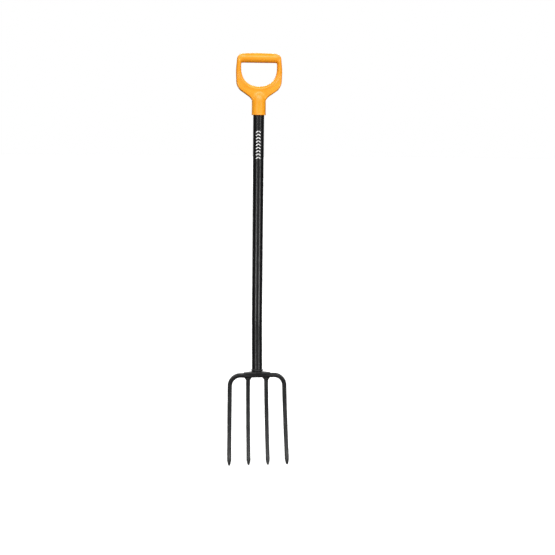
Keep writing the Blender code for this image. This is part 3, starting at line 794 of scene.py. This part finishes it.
def tang_saddle():
    """The saddle over the crossbar: a flat-bottomed strip with round shoulders, thickest in its middle."""
    half = SADDLE_LENGTH / 2
    half_depth, thick = saddle_reach(-half)
    saddle = start("plane", "tang_forged", size=1)
    resize((thick, 2 * half_depth, 1), ORIGIN)
    choose("verts", lambda v: v.co.x < 0)
    round_corners(SADDLE_CORNER_SHARE * thick, segments=5)
    turn(QUARTER_TURN, "Y", ORIGIN)
    move((-half, 0, CROSSBAR_HALF + thick / 2))
    for i in range(SADDLE_STEPS):
        x = -half + SADDLE_LENGTH * (i + 1) / SADDLE_STEPS
        new_depth, new_thick = saddle_reach(x)
        extrude((SADDLE_LENGTH / SADDLE_STEPS, 0, 0))
        resize((1, new_depth / half_depth, new_thick / thick), (x, 0, CROSSBAR_HALF))
        half_depth, thick = new_depth, new_thick
    face_outwards()
    close_edit()
    return saddle


def tang_post(name, radius, height):
    """A round post that stands on the crossbar's top."""
    middle = (0, 0, CROSSBAR_HALF + height / 2)
    post = start("cylinder", name, vertices=64, radius=radius, depth=height, location=middle)
    close_edit()
    return post


def tang(material):
    """The saddle along the crossbar, the tube's seat and the spigot in its foot, forged as one."""
    saddle = tang_saddle()
    seat = tang_post("seat", TUBE_RADIUS - SEAT_INSIDE, SEAT_HEIGHT)
    spigot = tang_post("spigot", TUBE_RADIUS - TUBE_WALL - SPIGOT_CLEARANCE, SPIGOT_LENGTH + SEAT_HEIGHT)
    made = join("tang_forged", [saddle, seat, spigot])
    fuse(made, TANG_VOXEL, TANG_ROUNDS)
    roughen(made, *TANG_DENTS)
    set_down(made, HEAD_PLACE)
    finish(made, material, "forged_coat", "head_tang", angle=60)


# ---- Welds ----
WELD_VOXEL = 0.00042
FOOT_DROPS, FOOT_ROUNDS = 38, 9
FOOT_DROP_SIZE, FOOT_DROP_LEAN, FOOT_DROP_INSIDE = (0.0026, 0.0027, 0.0035), math.radians(14), 0.0007
SADDLE_DROPS, SADDLE_ROUNDS = 26, 6
SADDLE_DROP_SIZE = (0.0022, 0.0025, 0.0024)
SADDLE_WELD_INSET = 0.0045  # from the saddle's ends
SADDLE_WELD_OUT, SADDLE_WELD_BELOW = 0.45, 0.0012  # a share of the overhang, and below the crossbar's top
INNER_DROPS, INNER_ROUNDS = 30, 5
INNER_DROP_SIZE = (0.0013, 0.0010, 0.0013)
INNER_SQUARENESS = 1.25  # 1 would lay the drops on an ellipse
INNER_RINGS = (  # below the crossbar, and outside the tine's side and face
    (0.0012, 0.0032, 0.0003),
    (0.0027, 0.0016, 0.0002),
    (0.0043, 0.0004, -0.0001),
    (0.0058, -0.0004, -0.0004),
)


def weld_drop(name, size):
    """One drop of weld metal, open for editing."""
    drop = start("uv_sphere", name, segments=18, ring_count=10, radius=1)
    resize(size, ORIGIN)
    return drop


def weld_run(name, spots, size, rounds):
    """A bead laid as a row of overlapping drops, melted together but keeping its ripples."""
    bead = weld_drop(name, size)
    move(spots[0])
    for before, after in zip(spots, spots[1:]):
        bpy.ops.mesh.duplicate_move(TRANSFORM_OT_translate={"value": Vector(after) - Vector(before)})
    close_edit()
    fuse(bead, WELD_VOXEL, rounds)
    return bead


def foot_weld(material):
    """The bead round the joint between the tube's foot and its seat."""
    bead = weld_drop("foot_weld_bead", FOOT_DROP_SIZE)
    turn(FOOT_DROP_LEAN, "X", ORIGIN)
    move((TUBE_RADIUS - FOOT_DROP_INSIDE, 0, FOOT_RISE))
    bpy.ops.mesh.spin(steps=FOOT_DROPS, dupli=True, angle=2 * math.pi, center=ORIGIN, axis=(0, 0, 1))
    close_edit()
    fuse(bead, WELD_VOXEL, FOOT_ROUNDS)
    set_down(bead, HEAD_PLACE)
    finish(bead, material, "weld_coat", "tube_foot_weld", angle=60)


def saddle_weld(name, side, node, material):
    """A bead under the saddle's edge, along the crossbar's front or rear face."""
    reach = SADDLE_LENGTH / 2 - SADDLE_WELD_INSET
    spots = []
    for i in range(SADDLE_DROPS + 1):
        x = mix(-reach, reach, i / SADDLE_DROPS)
        half_depth, _ = saddle_reach(x)
        out = mix(CROSSBAR_DEPTH / 2, half_depth, SADDLE_WELD_OUT)
        spots.append((x, side * out, CROSSBAR_HALF - SADDLE_WELD_BELOW))
    bead = weld_run(name, spots, SADDLE_DROP_SIZE, SADDLE_ROUNDS)
    set_down(bead, HEAD_PLACE)
    finish(bead, material, "weld_coat", node, angle=60)


def inner_weld(name, side, node, material):
    """A bead round an inner tine's top, in rings that are each lower and closer to the tine."""
    spots = []
    for below, aside, before in INNER_RINGS:
        drop = CROSSBAR_HALF + below
        width, depth = tine_size(drop, INNER_TOP, INNER_LOW)
        centre = Vector((tine_x(side * INNER_PLACE, drop), 0, -drop))
        for i in range(INNER_DROPS):
            a = 2 * math.pi * i / INNER_DROPS
            across = max(-1, min(1, INNER_SQUARENESS * math.cos(a))) * (width / 2 + aside)
            along = max(-1, min(1, INNER_SQUARENESS * math.sin(a))) * (depth / 2 + before)
            spots.append(tuple(centre + Vector((across, along, 0))))
    bead = weld_run(name, spots, INNER_DROP_SIZE, INNER_ROUNDS)
    set_down(bead, HEAD_PLACE)
    finish(bead, material, "weld_coat", node, angle=60)


# ---- Stage ----
WHITE = (1, 1, 1, 1)
FLOOR_RADIUS = 30
PAPER_DIM, PAPER_BRIGHT, PAPER_GLOW = (0.92, 0.92, 0.92), (0.95, 0.95, 0.95), 0.25
# Heights are sines of elevation, and places aside are tangents of azimuth, from the front or the back.
KEY_LOW, KEY_HIGH, KEY_SOFT = 0.36, 0.64, 0.10
KEY_SPREAD, KEY_FADE = 0.62, 0.35
STRIP_INNER, STRIP_OUTER, STRIP_SOFT = 0.64, 0.86, 0.12
STRIP_FOOT, STRIP_FULL, STRIP_BRIGHT, STRIP_TOP, STRIP_TOP_SHARE = -0.36, -0.26, -0.22, 0.03, 0.015
FILL_SPREAD, FILL_FADE = 0.7, 0.6
TOP_LOW, TOP_FULL = 0.15, 0.6
FRONT_SOFT = 0.1
KEY, BACK_KEY, STRIP, BACK_STRIP = 5.2, 4.4, 13.0, 6.5  # strengths
FRONT_FILL, TOP_FILL, SURROUND = 0.20, 0.22, 0.010
SIDE_SHARE = 0.2  # of the wide boxes' light, that the room's sides give at their height


def floor():
    """A wide pale disc under the tips."""
    made = start("circle", "floor", vertices=96, radius=FLOOR_RADIUS, fill_type="NGON")
    close_edit()
    paper = Finish("floor_paper", Roughness=0.9, Emission_Color=WHITE, Emission_Strength=PAPER_GLOW)
    paper.feed("Base Color", paper.blend(paper.noise(40, detail=3), PAPER_DIM, PAPER_BRIGHT))
    made.data.materials.append(paper.material)
    made.visible_glossy = False
    made.visible_diffuse = False
    made.visible_shadow = False


def studio():
    """A plain white room for the eye, and for the light a dark one with soft boxes in it.

    A wide box hangs in front and above, a weaker one behind. Two low strips stand to the left and right
    of the front and of the back, brighter downwards and stronger in front.
    """
    world = bpy.data.worlds.new("studio")
    bpy.context.scene.world = world
    world.use_nodes = True
    sky = Nodes(world.node_tree, "Generated")
    aside = abs(sky.x) / (abs(sky.y) + 0.001)  # finite to the sides too
    front = sky.ramp(-sky.y, -FRONT_SOFT, FRONT_SOFT)
    spread = sky.ramp(aside, KEY_SPREAD, KEY_SPREAD + KEY_FADE, 1.0, SIDE_SHARE)
    key = sky.band(sky.z, KEY_LOW, KEY_HIGH, KEY_SOFT) * spread
    fading = sky.ramp(sky.z, STRIP_BRIGHT, STRIP_TOP, 1.0, STRIP_TOP_SHARE)
    low = fading * sky.ramp(sky.z, STRIP_FOOT, STRIP_FULL)
    strips = sky.band(aside, STRIP_INNER, STRIP_OUTER, STRIP_SOFT) * low
    middle = sky.fall(aside, FILL_SPREAD, FILL_SPREAD + FILL_FADE) * front
    light = key * mix(BACK_KEY, KEY, front) + strips * mix(BACK_STRIP, STRIP, front)
    light = light + FRONT_FILL * middle + TOP_FILL * sky.ramp(sky.z, TOP_LOW, TOP_FULL) + SURROUND
    lit = sky.tree.nodes["Background"]
    sky.set(lit.inputs["Strength"], light)
    lit.inputs["Color"].default_value = WHITE
    seen = sky.node("ShaderNodeBackground", {}, [WHITE, 1.0])
    eye = sky.node("ShaderNodeLightPath", {}, {}, "Is Camera Ray")
    room = sky.node("ShaderNodeMixShader", {}, [eye, Value(sky, lit.outputs[0]), seen])
    sky.set(sky.tree.nodes["World Output"].inputs["Surface"], room)
    bpy.context.scene.view_settings.view_transform = "Standard"


camera()
studio()
floor()
grip()
grip_screw()
printed_mark(shaft())
forged = forged_shader("forged_coat", *FORGED)
welded = forged_shader("weld_coat", *WELDED)
tang(forged)
outer_tines(forged)
for side, word in ((-1, "left"), (1, "right")):
    inner_tine(f"inner_{word}_forged", side, f"inner_tine_{word}", forged)
    inner_weld(f"inner_{word}_weld_bead", side, f"inner_tine_weld_{word}", welded)
foot_weld(welded)
for side, word in ((-1, "front"), (1, "rear")):
    saddle_weld(f"saddle_{word}_weld_bead", side, f"saddle_weld_{word}", welded)
